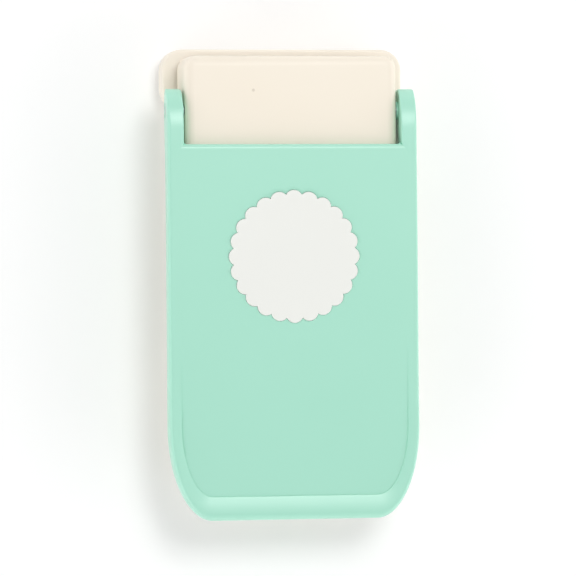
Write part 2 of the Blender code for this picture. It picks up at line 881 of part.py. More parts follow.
def make_handle(surface, lever):
    """The handle: a shallow cap with a raised rim, forked at the rear into two hinge arms."""
    handle = plate("lever_handle", handle_outline(), ear_bottom, handle_top, PARTS)
    side_height = handle_top - handle_edge_round - ear_bottom
    for corner in handle.data.vertices:
        below = -1 if corner.co.z < 0 else handle_edge_round / side_height
        corner.co.x *= 1 + below * handle_draft / (handle_width / 2)
        corner.co.y *= 1 + below * handle_draft / abs(handle_end_y)
    round_edges(handle, {handle_top: handle_edge_round})
    break_point = (skirt_break_y, skirt_bottom)
    arm_point = (arm_slope_y, handle_top + weld_distance)
    ear = arc(
        (hinge_y, hinge_height),
        (ear_radius, ear_radius),
        tangent_angle(break_point, False),
        tangent_angle(arm_point, True),
        ear_steps,
    )
    far = handle_end_y - overrun
    side_view = [(far, skirt_bottom), break_point, *ear, arm_point, (far, handle_top + overrun)]
    sides = side_plate("handle_side_view", side_view, handle_width)
    combine(handle, sides, "INTERSECT", "Keep side view")
    under = ear_bottom - overrun
    hollow = handle_outline(handle_wall, handle_wall, skirt_break_y)
    cut(handle, plate("handle_hollow", hollow, under, handle_underside))
    behind = hinge_y + 2 * ear_radius
    for label, start, top in (
        ("arm_hollow", skirt_break_y - 2 * fork_corner, handle_underside),
        ("fork", handle_rear_y, handle_top + overrun),
    ):
        gap = box_outline(2 * fork_half, behind - start, (behind + start) / 2, fork_corner)
        cut(handle, plate(label, gap, under, top))
    field = handle_outline(handle_rim_width, handle_end_lip, behind)
    cut(handle, plate("field_recess", field, handle_field, handle_top + overrun))
    pocket_floor = handle_field + marker_proud - marker_thickness - seat_gap
    pocket = plate(
        "marker_pocket", scallop_outline(cutting_clearance), pocket_floor, handle_top + overrun
    )
    cut(handle, pocket)
    for part in nose_pieces():
        join(handle, part)
    catch = block(
        "catch_post",
        (-catch_width / 2, catch_width / 2),
        (catch_back, catch_back + catch_thickness),
        (catch_bottom, handle_underside + joint_depth),
    )
    barb = [
        (catch_back + catch_thickness / 2, catch_bottom),
        (catch_back + catch_thickness / 2, barb_top),
        (barb_tip, barb_top),
        (barb_tip, barb_top - barb_height / 2),
        (catch_back, catch_bottom),
    ]
    join(handle, catch, side_plate("catch_barb", barb[::-1], catch_width / 2))
    bore = drum("ear_bore", hinge_pin_radius + seat_gap, -handle_width, handle_width)
    bore.location = (0, hinge_y, hinge_height)
    bore.rotation_euler.y = math.pi / 2
    cut(handle, bore)
    return finish(handle, surface, lever)


def nose_pieces():
    """The nose under the handle's plate: a short web that ends in a round bar across the punch."""
    bar_height = press_boss_top + seat_gap + nose_radius
    bar = drum("nose_bar", nose_radius, -nose_length / 2, nose_length / 2, steps=round_steps)
    bar.location = (0, cut_centre_y, bar_height)
    bar.rotation_euler.y = math.pi / 2
    web = block(
        "nose_web",
        (-nose_length / 2, nose_length / 2),
        (cut_centre_y - nose_radius, cut_centre_y + nose_radius),
        (bar_height, handle_underside + joint_depth),
    )
    return web, bar


def make_marker(surface, lever):
    """The white inlay that shows the shape, a little proud of the handle's field."""
    top = handle_field + marker_proud
    marker = plate("shape_marker", scallop_outline(), top - marker_thickness, top, PARTS)
    round_edges(marker, {top: marker_round})
    return finish(marker, surface, lever)


def make_hinge_pins(surface):
    """Two chamfered pins, each from the housing's side out into one arm of the handle."""
    inner = housing_width / 2 + hinge_pin_inset - hinge_pin_length
    outer = handle_width / 2 - hinge_pin_inset
    slim = hinge_pin_radius - hinge_pin_chamfer
    for label, side in (("left", -1), ("right", 1)):
        profile = [
            (0, outer),
            (slim, outer),
            (hinge_pin_radius, outer - hinge_pin_chamfer),
            (hinge_pin_radius, inner + hinge_pin_chamfer),
            (slim, inner),
            (0, inner),
        ]
        pin = turned(f"{label}_hinge_pin", profile, PARTS, round_steps)
        pin.location = (0, hinge_y, hinge_height)
        pin.rotation_euler.y = side * math.pi / 2
        finish(pin, surface)


def make_lock_slide(surface, lock):
    """The slide that hooks over the handle's catch, with a ridged push button at its rear end."""
    half = lock_width / 2
    button_back = button_front - button_thickness
    middle = (lock_bottom + lock_top) / 2
    slide = plate(
        "lock_slide",
        box_outline(
            lock_width,
            lock_front - button_front + button_thickness / 2,
            (lock_front + button_front - button_thickness / 2) / 2,
            sharp_corner,
        ),
        lock_bottom,
        lock_top,
        PARTS,
    )
    button = block(
        "lock_button",
        (-button_width / 2, button_width / 2),
        (button_back, button_front),
        (middle - button_height / 2, middle + button_height / 2),
    )
    join(slide, button)
    pitch = button_height / button_ridge_count
    for ridge in range(button_ridge_count):
        height = middle + (ridge - (button_ridge_count - 1) / 2) * pitch
        bar = block(
            f"lock_ridge_{ridge}",
            (-half, half),
            (button_back - ridge_height, button_back + ridge_height),
            (height - ridge_half_width, height + ridge_half_width),
        )
        join(slide, bar)
    return finish(slide, surface, lock)


def make_screws(steel, ram):
    """The screws that hold the shells, the guide plate, the die and the cutter."""
    sides = ("left", "right")
    ends = ("rear", "front")
    names = [f"{end}_{side}" for end in ends for side in sides]
    head_face = table_height - table_thickness - seat_gap - pan_head_height
    for label, (x, y) in zip(names, housing_screw_places):
        name = f"housing_screw_{label}"
        screw(name, (x, y, head_face), pan_head(), housing_screw_length, True, steel)
    for label, (x, y) in zip(names, guide_screw_places):
        name = f"guide_screw_{label}"
        place = (x, y, upper_floor + seat_gap)
        screw(name, place, flat_head(), guide_screw_length - seat_gap, True, steel)
    for label, (x, y) in zip(names, die_screw_places):
        name = f"die_screw_{label}"
        screw(name, (x, y, die_screw_face), flat_head(), die_screw_length, False, steel)
    for label, (x, y) in zip(ends, plunger_screw_places):
        name = f"plunger_screw_{label}"
        place = (x, y, flange_top + seat_gap + pan_head_height)
        screw(name, place, pan_head(), plunger_screw_length, False, steel, ram)


def main():
    mint = material("moulded_mint", MINT, 0.4)
    cream = material("moulded_cream", CREAM, 0.42)
    white = material("moulded_white", WHITE, 0.45)
    steel = material("plated_steel", STEEL, 0.35, 1.0)
    zinc = material("cast_zinc", ZINC, 0.45, 1.0)
    lever = joint_axis("lever_hinge_axis", (0, hinge_y, hinge_height))
    ram = joint_axis("ram_slide_axis", (0, cut_centre_y, cutter_bottom))
    lock = joint_axis("lock_slide_axis", (0, button_front, (lock_bottom + lock_top) / 2))
    make_base_housing(cream)
    make_bottom_cover(cream)
    make_upper_housing(cream)
    make_throat_spacer(cream)
    make_die_set(steel, zinc, ram)
    make_plunger(white, ram)
    make_springs(steel)
    make_handle(mint, lever)
    make_marker(white, lever)
    make_hinge_pins(steel)
    make_lock_slide(mint, lock)
    make_screws(steel, ram)


main()
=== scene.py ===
"""A lever punch that cuts a scalloped circle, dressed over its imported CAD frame.

The sections follow the punch as it is put together, from the table up. Metres, +Z up, +Y towards the
mouth, where the paper goes in, and -Y towards the handle's free end.
"""

import json
import math

import bpy
import numpy as np
from mathutils import Matrix, Vector


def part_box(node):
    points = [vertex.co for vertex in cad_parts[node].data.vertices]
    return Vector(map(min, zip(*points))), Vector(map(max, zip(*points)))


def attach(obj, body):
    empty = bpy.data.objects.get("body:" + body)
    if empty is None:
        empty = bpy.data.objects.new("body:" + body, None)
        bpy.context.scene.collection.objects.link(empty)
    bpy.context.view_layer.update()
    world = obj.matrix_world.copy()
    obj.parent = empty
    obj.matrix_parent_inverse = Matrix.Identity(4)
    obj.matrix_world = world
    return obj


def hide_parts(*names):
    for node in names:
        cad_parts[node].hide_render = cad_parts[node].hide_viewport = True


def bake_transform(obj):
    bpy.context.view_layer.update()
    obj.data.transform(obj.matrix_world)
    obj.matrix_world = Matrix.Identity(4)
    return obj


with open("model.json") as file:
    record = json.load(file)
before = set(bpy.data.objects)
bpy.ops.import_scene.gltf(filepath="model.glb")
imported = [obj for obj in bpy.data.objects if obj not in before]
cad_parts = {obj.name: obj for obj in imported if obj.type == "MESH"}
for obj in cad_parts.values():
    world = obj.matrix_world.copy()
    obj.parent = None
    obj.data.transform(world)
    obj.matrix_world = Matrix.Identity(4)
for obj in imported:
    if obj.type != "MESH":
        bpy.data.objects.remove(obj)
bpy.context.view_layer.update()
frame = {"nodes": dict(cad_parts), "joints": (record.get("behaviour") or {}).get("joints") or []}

# Lower shell
# Jaw, paper table and tail in one piece, injection-moulded in cream ABS. A polished mould leaves it
# satin, and its edges are soft.


def linear(code):
    """An sRGB hex colour as the linear red, green, blue and alpha that a shader takes.

    A share up to 0.04045 is divided by 12.92, and a higher one becomes ((share + 0.055) / 1.055)^2.4.
    """
    share = np.array([int(code[place : place + 2], 16) for place in (1, 3, 5)]) / 255
    low = share / 12.92
    high = ((share + 0.055) / 1.055) ** 2.4
    return (*np.where(share <= 0.04045, low, high), 1)


def add_node(tree, kind, settings=(), inputs=(), links=()):
    """Adds a node, sets its settings and input values, and links (output, input) pairs into it."""
    node = tree.nodes.new(kind)
    for name, value in dict(settings).items():
        setattr(node, name, value)
    for socket, value in dict(inputs).items():
        node.inputs[socket].default_value = value
    for output, socket in links:
        tree.links.new(output, node.inputs[socket])
    return node


def moulded_abs(name, code, shade, roughness):
    """Moulded plastic: to the eye an even colour with broad, soft highlights and no sharp reflection.

    The colour drifts over about 30 mm, and the gloss over 6 mm, as the melt cooled. The mould's own
    grain, about 0.1 mm, is too fine to show, so it is drawn at 0.5 mm and very low.
    """
    plastic_ior = 1.53
    drift_size = 0.03
    flow_size = 0.006
    gloss_spread = 0.03
    grain_size = 0.0005
    grain_height = 0.00001
    made = bpy.data.materials.new(name)
    made.use_nodes = True
    tree = made.node_tree
    shader = tree.nodes["Principled BSDF"]
    shader.inputs["IOR"].default_value = plastic_ior
    place = add_node(tree, "ShaderNodeTexCoord").outputs["Object"]
    drift = add_node(
        tree, "ShaderNodeTexNoise", inputs={"Scale": 1 / drift_size, "Detail": 2}, links=[(place, "Vector")]
    )
    colour = add_node(
        tree,
        "ShaderNodeMix",
        {"data_type": "RGBA"},
        {6: linear(code), 7: linear(shade)},
        [(drift.outputs["Fac"], 0)],
    )
    tree.links.new(colour.outputs[2], shader.inputs["Base Color"])
    flow = add_node(
        tree, "ShaderNodeTexNoise", inputs={"Scale": 1 / flow_size, "Detail": 2}, links=[(place, "Vector")]
    )
    gloss = add_node(
        tree,
        "ShaderNodeMapRange",
        inputs={"To Min": roughness - gloss_spread, "To Max": roughness + gloss_spread},
        links=[(flow.outputs["Fac"], "Value")],
    )
    tree.links.new(gloss.outputs["Result"], shader.inputs["Roughness"])
    grain = add_node(
        tree, "ShaderNodeTexNoise", inputs={"Scale": 1 / grain_size, "Detail": 1}, links=[(place, "Vector")]
    )
    relief = add_node(
        tree,
        "ShaderNodeBump",
        inputs={"Strength": 0.15, "Distance": grain_height},
        links=[(grain.outputs["Fac"], "Height")],
    )
    tree.links.new(relief.outputs["Normal"], shader.inputs["Normal"])
    return made


def solid(name, shells, surface):
    """One object from closed shells, each (points, faces), shaded smooth but for edges over 35 degrees."""
    crease = math.radians(35)
    start = np.cumsum([0] + [len(points) for points, _ in shells])
    faces = [
        tuple(np.array(face) + offset) for offset, (_, group) in zip(start, shells) for face in group
    ]
    mesh = bpy.data.meshes.new(name)
    mesh.from_pydata(np.concatenate([points for points, _ in shells]), [], faces)
    mesh.materials.append(surface)
    mesh.shade_smooth()
    mesh.set_sharp_from_angle(angle=crease)
    made = bpy.data.objects.new(name, mesh)
    bpy.context.scene.collection.objects.link(made)
    level = made.modifiers.new("Even shading", "WEIGHTED_NORMAL")
    level.keep_sharp = True
    return made


def read_shell(mesh):
    """A mesh's points and triangles, with corners that agree to seven decimals made one.

    A triangle that loses a corner by this is left out.
    """
    decimals = 7
    corners = np.empty(3 * len(mesh.vertices))
    mesh.vertices.foreach_get("co", corners)
    points, index = np.unique(corners.reshape(-1, 3).round(decimals), axis=0, return_inverse=True)
    mesh.calc_loop_triangles()
    triangles = np.empty(3 * len(mesh.loop_triangles), np.int32)
    mesh.loop_triangles.foreach_get("vertices", triangles)
    triangles = index.reshape(-1)[triangles].reshape(-1, 3)
    ends = np.roll(triangles, 1, axis=1)
    return points, triangles[(triangles != ends).all(axis=1)].tolist()


def fit(piece, body, slot, *nodes):
    """Fixes a piece to the body that it moves with, in the place of CAD nodes."""
    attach(piece, body)
    if nodes:
        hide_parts(*nodes)


# Satin and warm like the upper shell, but a touch paler and less yellow.
pale_cream = moulded_abs("moulded pale cream ABS", "#f6eee1", "#f3eadb", 0.42)
lower_shell = solid("lower_shell", [read_shell(frame["nodes"]["base_housing"].data)], pale_cream)
fit(lower_shell, "base", "base_shell", "base_housing")

# Bottom cover
# A flat plate of the same cream ABS, pushed with four pegs into the lower shell. Its window lets the
# cut shapes fall out.

bottom_plate = solid("bottom_plate", [read_shell(frame["nodes"]["bottom_cover"].data)], pale_cream)
fit(bottom_plate, "base", "cover", "bottom_cover")

# Die and its screws
# A stamped steel plate with the scalloped hole, nickel-plated against rust, let into the paper table and
# held by four countersunk screws.


def rolled_steel(name, code, shade, roughness, grain):
    """Plated steel: to the eye a soft grey sheen, streaked by the fine lines that rolling left.

    The lines run along Y, a grain wide and ten grains long.
    """
    lengthen = (1, 0.1, 1)
    gloss_spread = 0.08
    made = bpy.data.materials.new(name)
    made.use_nodes = True
    tree = made.node_tree
    shader = tree.nodes["Principled BSDF"]
    shader.inputs["Metallic"].default_value = 1
    place = add_node(tree, "ShaderNodeTexCoord").outputs["Object"]
    stretch = add_node(tree, "ShaderNodeMapping", inputs={"Scale": lengthen}, links=[(place, "Vector")])
    lines = add_node(
        tree,
        "ShaderNodeTexNoise",
        inputs={"Scale": 1 / grain, "Detail": 3},
        links=[(stretch.outputs["Vector"], "Vector")],
    )
    colour = add_node(
        tree,
        "ShaderNodeMix",
        {"data_type": "RGBA"},
        {6: linear(code), 7: linear(shade)},
        [(lines.outputs["Fac"], 0)],
    )
    tree.links.new(colour.outputs[2], shader.inputs["Base Color"])
    gloss = add_node(
        tree,
        "ShaderNodeMapRange",
        inputs={"To Min": roughness - gloss_spread, "To Max": roughness + gloss_spread},
        links=[(lines.outputs["Fac"], "Value")],
    )
    tree.links.new(gloss.outputs["Result"], shader.inputs["Roughness"])
    return made


def dress(surface, *names):
    """Gives CAD nodes, whose shape is right as it is, a material."""
    for name in names:
        for slot in frame["nodes"][name].material_slots:
            slot.material = surface


# Nickel gives a warm, light grey, and zinc a cooler and duller one.
nickel_plate = rolled_steel("nickel-plated stamped steel", "#c4c3be", "#b2b1ad", 0.32, 0.0006)
dress(nickel_plate, "die_plate")
zinc_plate = rolled_steel("zinc-plated turned steel", "#c3c7cb", "#aeb3b9", 0.38, 0.0004)
corners = ("rear_left", "rear_right", "front_left", "front_right")
dress(zinc_plate, *[f"die_screw_{corner}" for corner in corners])

# Throat spacer
# A flat strip of cream ABS between the two shells, which keeps the slot for the paper open and stops the
# paper at its end.

dress(pale_cream, "throat_spacer")

# Guide plate, its screws and the spring pins
# A stamped steel plate over the paper, which guides the cutter. Four countersunk screws hold it up in
# the upper shell, and two plain steel pins stand in it.

dress(nickel_plate, "guide_plate")
dress(zinc_plate, "spring_pin_rear", "spring_pin_front")
dress(zinc_plate, *[f"guide_screw_{corner}" for corner in corners])

# Cutter
# A scalloped block of cast zinc with 24 equal lobes. Its sides are ground, and its lower face is a
# shallow valley, so that it cuts from both ends to the middle.

# The cut is 38.1 mm across, and the marker on the handle shows its place.
marker_low, marker_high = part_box("shape_marker")
cut_y = (marker_low.y + marker_high.y) / 2
cut_centre = np.array([0, cut_y])
cut_radius = 0.01905
lobe_count = 24
lobe_radius = 0.00261
lobe_points = 16


def scallops(spare):
    """The scalloped circle about the cut's centre, with each lobe's radius wider by the spare.

    A lobe's centre lies on a circle one lobe radius inside the shape's own. Each lobe is drawn as far to
    both sides as its crossing with the next one.
    """
    ring = cut_radius - lobe_radius
    radius = lobe_radius + spare
    half_pitch = math.pi / lobe_count
    across = ring * math.sin(half_pitch)
    reach = math.atan2(across, math.sqrt(radius**2 - across**2)) + half_pitch
    middle = math.pi / 2 + 2 * half_pitch * np.arange(lobe_count)[:, None]
    turn = middle + reach * (2 * np.arange(lobe_points) / lobe_points - 1)
    x = ring * np.cos(middle) + radius * np.cos(turn)
    y = ring * np.sin(middle) + radius * np.sin(turn)
    outline = np.stack([x, y + cut_y], axis=-1).reshape(-1, 2)
    return np.roll(outline, -lobe_points // 2, axis=0)


def lift(outline, height):
    """A flat outline as a ring of points at one height, or at a height for each point."""
    return np.column_stack([outline, np.broadcast_to(height, len(outline))])


def skin(rings, start="flat", end="flat"):
    """Closed shell over rings of equal length: quads between neighbours, each end flat, a pole or joined.

    Where the ends are joined, the last ring runs on into the first, as on a washer. The faces are turned
    round together where the volume that they enclose comes out negative.
    """
    rings = np.asarray(rings)
    count, size = rings.shape[:2]
    points = rings.reshape(-1, 3)
    here = np.arange(count * size).reshape(count, size)
    if start == "joined":
        here = np.concatenate([here, here[:1]])
    right = np.roll(here, -1, axis=1)
    faces = np.stack([here[:-1], right[:-1], right[1:], here[1:]], axis=-1).reshape(-1, 4).tolist()
    walls = len(faces)
    for kind, first, step in ((start, 0, -1), (end, (count - 1) * size, 1)):
        loop = np.arange(first, first + size)[::step]
        if kind == "flat":
            faces.append(loop.tolist())
        elif kind == "pole":
            pole = np.full(size, len(points))
            points = np.concatenate([points, points[loop].mean(axis=0, keepdims=True)])
            faces += np.stack([loop, np.roll(loop, -1), pole], axis=-1).tolist()
    quads = np.array(faces[:walls])
    inside = 0
    for a, b, c in ((0, 1, 2), (0, 2, 3)):
        inside += np.linalg.det(points[quads[:, (a, b, c)]]).sum()
    for face in faces[walls:]:
        fan = points[[[face[0], b, c] for b, c in zip(face[1:], face[2:])]]
        inside += np.linalg.det(fan).sum()
    return points, [face[::-1] for face in faces] if inside < 0 else faces


def cutter_shell():
    """Rings that shrink to the middle on both faces, with a small round at the upper edge.

    The lower face is z = low + depth (1 - |y - cut_y| / cut_radius).
    """
    low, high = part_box("punch_cutter")
    outline = scallops(0)
    valley_depth = 0.0007
    edge = 0.00015
    first_share = 0.02

    def ring(share, height):
        """The outline shrunk to a share of itself, at the height that a function of its points gives."""
        flat = cut_centre + share * (outline - cut_centre)
        return lift(flat, height(flat))

    def valley(flat):
        return low.z + valley_depth * (1 - np.abs(flat[:, 1] - cut_y) / cut_radius)

    rings = [ring(share, valley) for share in np.linspace(first_share, 1, 16)]
    rings.append(ring(1, lambda flat: high.z - edge))
    rings.append(ring(1 - edge / cut_radius, lambda flat: high.z))
    return skin(rings, "pole", "pole")


def cast_zinc():
    """Cast zinc: a dull grey metal with the fine pits, near 0.4 mm, that a die casting keeps."""
    pit_size = 0.0004
    pit_depth = 0.00003
    made = bpy.data.materials.new("ground cast zinc")
    made.use_nodes = True
    tree = made.node_tree
    shader = tree.nodes["Principled BSDF"]
    shader.inputs["Metallic"].default_value = 1
    place = add_node(tree, "ShaderNodeTexCoord").outputs["Object"]
    pits = add_node(
        tree, "ShaderNodeTexNoise", inputs={"Scale": 1 / pit_size, "Detail": 4}, links=[(place, "Vector")]
    )
    colour = add_node(
        tree,
        "ShaderNodeMix",
        {"data_type": "RGBA"},
        {6: linear("#a9aaab"), 7: linear("#8f9194")},
        [(pits.outputs["Fac"], 0)],
    )
    tree.links.new(colour.outputs[2], shader.inputs["Base Color"])
    gloss = add_node(
        tree,
        "ShaderNodeMapRange",
        inputs={"To Min": 0.35, "To Max": 0.6},
        links=[(pits.outputs["Fac"], "Value")],
    )
    tree.links.new(gloss.outputs["Result"], shader.inputs["Roughness"])
    relief = add_node(
        tree,
        "ShaderNodeBump",
        inputs={"Strength": 0.3, "Distance": pit_depth},
        links=[(pits.outputs["Fac"], "Height")],
    )
    tree.links.new(relief.outputs["Normal"], shader.inputs["Normal"])
    return made


scalloped_cutter = solid("scalloped_cutter", [cutter_shell()], cast_zinc())
fit(scalloped_cutter, "ram", "cutter_zinc", "punch_cutter")

# Plunger and its screws
# Moulded in natural white acetal, which slides without grease: a flange, two spring towers, two ribs and
# the boss that the handle presses. Two pan-head screws hold the cutter under it.

# Acetal is milky white, and a little glossier than ABS.
acetal = moulded_abs("moulded natural acetal", "#eeeee9", "#e9e9e3", 0.36)
sliding_plunger = solid("sliding_plunger", [read_shell(frame["nodes"]["plunger"].data)], acetal)
fit(sliding_plunger, "ram", "plunger", "plunger")
dress(zinc_plate, "plunger_screw_rear", "plunger_screw_front")

# Return springs
# Compression springs coiled from drawn steel wire, 0.6 mm thick. The last turn at each end is closed
# against its neighbour, so that the spring stands square.

wire_radius = 0.0003
spring_turns = 4


def coil_shell(low, high):
    """A round wire along a helix that climbs by its own thickness in the first and the last turn.

    The height goes in straight steps over the turns, and a running mean rounds the bends between them.
    """
    turn_points = 48
    wire_sides = 12
    mean_reach = 8
    mean_count = 2 * mean_reach + 1
    middle = ((low.x + high.x) / 2, (low.y + high.y) / 2)
    radius = (high.x - low.x) / 2 - wire_radius
    share = np.linspace(0, 1, turn_points * spring_turns + 1)
    bottom = low.z + wire_radius
    top = high.z - wire_radius
    closed = 2.1 * wire_radius
    stops = np.array([0, 1, spring_turns - 1, spring_turns]) / spring_turns
    climb = np.interp(share, stops, [bottom, bottom + closed, top - closed, top])
    climb = np.convolve(np.pad(climb, mean_reach, "edge"), np.full(mean_count, 1 / mean_count), "valid")
    turn = 2 * math.pi * spring_turns * share
    outward = np.stack([np.cos(turn), np.sin(turn), 0 * turn], axis=-1)
    axis = np.stack([0 * turn + middle[0], 0 * turn + middle[1], climb], axis=-1)
    path = radius * outward + axis
    along = np.gradient(path, axis=0)
    along /= np.linalg.norm(along, axis=1, keepdims=True)
    upward = np.cross(outward, along)
    angle = np.linspace(0, 2 * math.pi, wire_sides, endpoint=False)[None, :, None]
    wire = np.cos(angle) * outward[:, None] + np.sin(angle) * upward[:, None]
    return skin(path[:, None] + wire_radius * wire)


# Drawing leaves the wire smooth, so each turn shows one thin, bright line.
drawn_wire = rolled_steel("drawn spring steel wire", "#b9bbbd", "#9da0a3", 0.3, 0.0003)
for end in ("rear", "front"):
    low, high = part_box(f"return_spring_{end}")
    spring = solid(f"coil_{end}", [coil_shell(low, high)], drawn_wire)
    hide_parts(f"return_spring_{end}")
    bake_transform(spring)

# Upper shell
# The cream ABS block between the handle's arms, running on under the handle to the tail. It was filled
# through a pin gate, whose trimmed spot stays on top near the mouth.

housing_low, housing_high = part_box("upper_housing")
gate = (-0.0111, 0.0553, housing_high.z)
gate_radius = 0.00035
top_round = 0.003
top_power = 2.6


def gated(surface, place, radius):
    """A copy of a moulded finish with a gate's trimmed spot: a small disc, a little darker.

    The darker colour fades out from the disc's radius to one and a half times that.
    """
    made = surface.copy()
    made.name = surface.name + " with gate spot"
    tree = made.node_tree
    shader = tree.nodes["Principled BSDF"]
    where = add_node(tree, "ShaderNodeTexCoord").outputs["Object"]
    distance = add_node(
        tree, "ShaderNodeVectorMath", {"operation": "DISTANCE"}, {1: place}, [(where, 0)]
    )
    spot = add_node(
        tree,
        "ShaderNodeMapRange",
        inputs={"From Min": radius, "From Max": 1.5 * radius, "To Min": 1, "To Max": 0},
        links=[(distance.outputs["Value"], "Value")],
    )
    plain = shader.inputs["Base Color"].links[0].from_socket
    colour = add_node(
        tree,
        "ShaderNodeMix",
        {"data_type": "RGBA"},
        {7: linear("#e0d5c4")},
        [(spot.outputs["Result"], 0), (plain, 6)],
    )
    tree.links.new(colour.outputs[2], shader.inputs["Base Color"])
    return made


def squared(shell, round_size, power):
    """The shell with the round along its top border filled out, from a circle to a superellipse.

    A point keeps its inset from the side. Its height over the round's foot, as a share of the round's
    size, goes from the root of 1 - c^2 to (1 - c^power)^(1 / power), where c is the circle's cosine.
    Points further in than the round, with 5% to spare, are left alone.
    """
    spare = 1.05
    points, faces = shell
    foot = housing_high.z - round_size
    share = np.clip((points[:, 2] - foot) / round_size, 0, 1)
    cosine = np.sqrt(1 - share**2)
    flat = points[:, :2]
    inset = np.minimum(flat - np.array(housing_low.xy), np.array(housing_high.xy) - flat).min(axis=1)
    raised = foot + round_size * (1 - cosine**power) ** (1 / power)
    outer = (share > 0) & (inset < spare * round_size)
    made = points.copy()
    made[:, 2] = np.where(outer, raised, points[:, 2])
    return made, faces


# Satin cream, a warm off-white that goes soft and bright along the rounded border.
cream = moulded_abs("moulded cream ABS", "#f7eedf", "#f4ead9", 0.42)
gated_cream = gated(cream, gate, gate_radius)
block_shell = squared(read_shell(frame["nodes"]["upper_housing"].data), top_round, top_power)
upper_shell = solid("upper_shell", [block_shell], gated_cream)
fit(upper_shell, "base", "upper_shell", "upper_housing")

# Housing screws
# Four pan-head screws of zinc-plated steel, driven from below through the lower shell and the spacer
# into the upper shell.

dress(zinc_plate, *[f"housing_screw_{corner}" for corner in corners])

# Hinge pins
# Two turned steel pins with chamfered ends, each from the upper shell's side out into one arm of the
# handle.


def turned_about_x(profile, middle, count=48):
    """A profile of (radius, x) pairs, turned about a line along X through (y, z)."""
    radius, x = np.array(profile).T[..., None]
    angle = np.linspace(0, 2 * math.pi, count, endpoint=False)
    y = middle[0] + radius * np.cos(angle)
    z = middle[1] + radius * np.sin(angle)
    return np.stack([x + 0 * y, y, z], axis=-1)


def pin_shell(low, high):
    """A cylinder whose ends are chamfered by a fifth of its radius."""
    middle = ((low.y + high.y) / 2, (low.z + high.z) / 2)
    radius = (high.z - low.z) / 2
    chamfer = radius / 5
    profile = [
        (radius - chamfer, low.x),
        (radius, low.x + chamfer),
        (radius, high.x - chamfer),
        (radius - chamfer, high.x),
    ]
    return skin(turned_about_x(profile, middle))


for side in ("left", "right"):
    pin = solid(f"turned_pin_{side}", [pin_shell(*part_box(f"{side}_hinge_pin"))], zinc_plate)
    fit(pin, "base", "fastener_steel", f"{side}_hinge_pin")

# Handle
# Mint green ABS, moulded as a shallow cap: a flat plate with a low raised rim, a skirt round it, and at
# the rear two arms with ears for the pins. Under the plate are the nose and the catch.

handle_low, handle_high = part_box("lever_handle")
hinge_y, hinge_z = next(joint["pos_m"][1:] for joint in frame["joints"] if joint["name"] == "lever_hinge")

# From above: straight sides, an ellipse quarter at each corner of the free end, and the fork at the rear
half_width = 0.0365
free_end = handle_low.y
corner_x = 0.0125
corner_y = 0.027
fork_y = hinge_y - 0.0098

# Heights of the flat field, the plate under it and the skirt, whose draft lets it leave the mould
handle_top = handle_high.z
edge_height = 0.0034
field_z = handle_top - 0.0008
plate_thickness = 0.002
plate_underside = field_z - plate_thickness
skirt_bottom = handle_top - 0.009
draft = 0.0012 / (handle_top - edge_height - handle_low.z)

# Across: wall and arms, and the rim, which is wider at the free end and dies out towards the fork
wall = 0.0032
arm_width = 0.0048
crown_power = 2.6
rim_width = 0.0035
rim_end = 0.0068
ridge_share = 0.3
rim_rise = 0.0006
rim_fade = (-0.056, -0.024)

# From the side: the ear round the pin, and where the skirt's lower edge and the arm's upper side bend
ear_radius = handle_high.y - hinge_y
bore_radius = 0.0023
skirt_break_y = hinge_y - 0.0201
skirt_bend = 0.003
arm_slope_y = hinge_y - 0.0051


def ease(value, low, high):
    """Rises smoothly from 0 at the low end to 1 at the high end, as t^2 (3 - 2t)."""
    share = np.clip((value - low) / (high - low), 0, 1)
    return share * share * (3 - 2 * share)


def upper_line(y, level):
    """Height of the upper side: level along the cap, then an ellipse quarter over the ear to its tip."""
    over = np.clip((y - arm_slope_y) / (handle_high.y - arm_slope_y), 0, 1)
    return hinge_z + (level - hinge_z) * np.sqrt(1 - over**2)


def lower_line(y):
    """Height of the lower side: the skirt's level edge, a tangent down to the ear, then the ear's circle.

    The bend between edge and tangent is a parabola, (bend - |y - break|)^2 / (4 bend) times the slope.
    """
    across = skirt_break_y - hinge_y
    up = skirt_bottom - hinge_z
    touch = math.atan2(up, across) + math.acos(ear_radius / math.hypot(across, up))
    touch_y = hinge_y + ear_radius * math.cos(touch)
    touch_z = hinge_z + ear_radius * math.sin(touch)
    slope = (touch_z - skirt_bottom) / (touch_y - skirt_break_y)
    bend = np.clip(skirt_bend - np.abs(y - skirt_break_y), 0, None) ** 2 / (4 * skirt_bend)
    straight = skirt_bottom + slope * (np.clip(y - skirt_break_y, 0, None) + bend)
    off_axis = np.clip((y - hinge_y) / ear_radius, -1, 1)
    return np.where(y < touch_y, straight, hinge_z - ear_radius * np.sqrt(1 - off_axis**2))


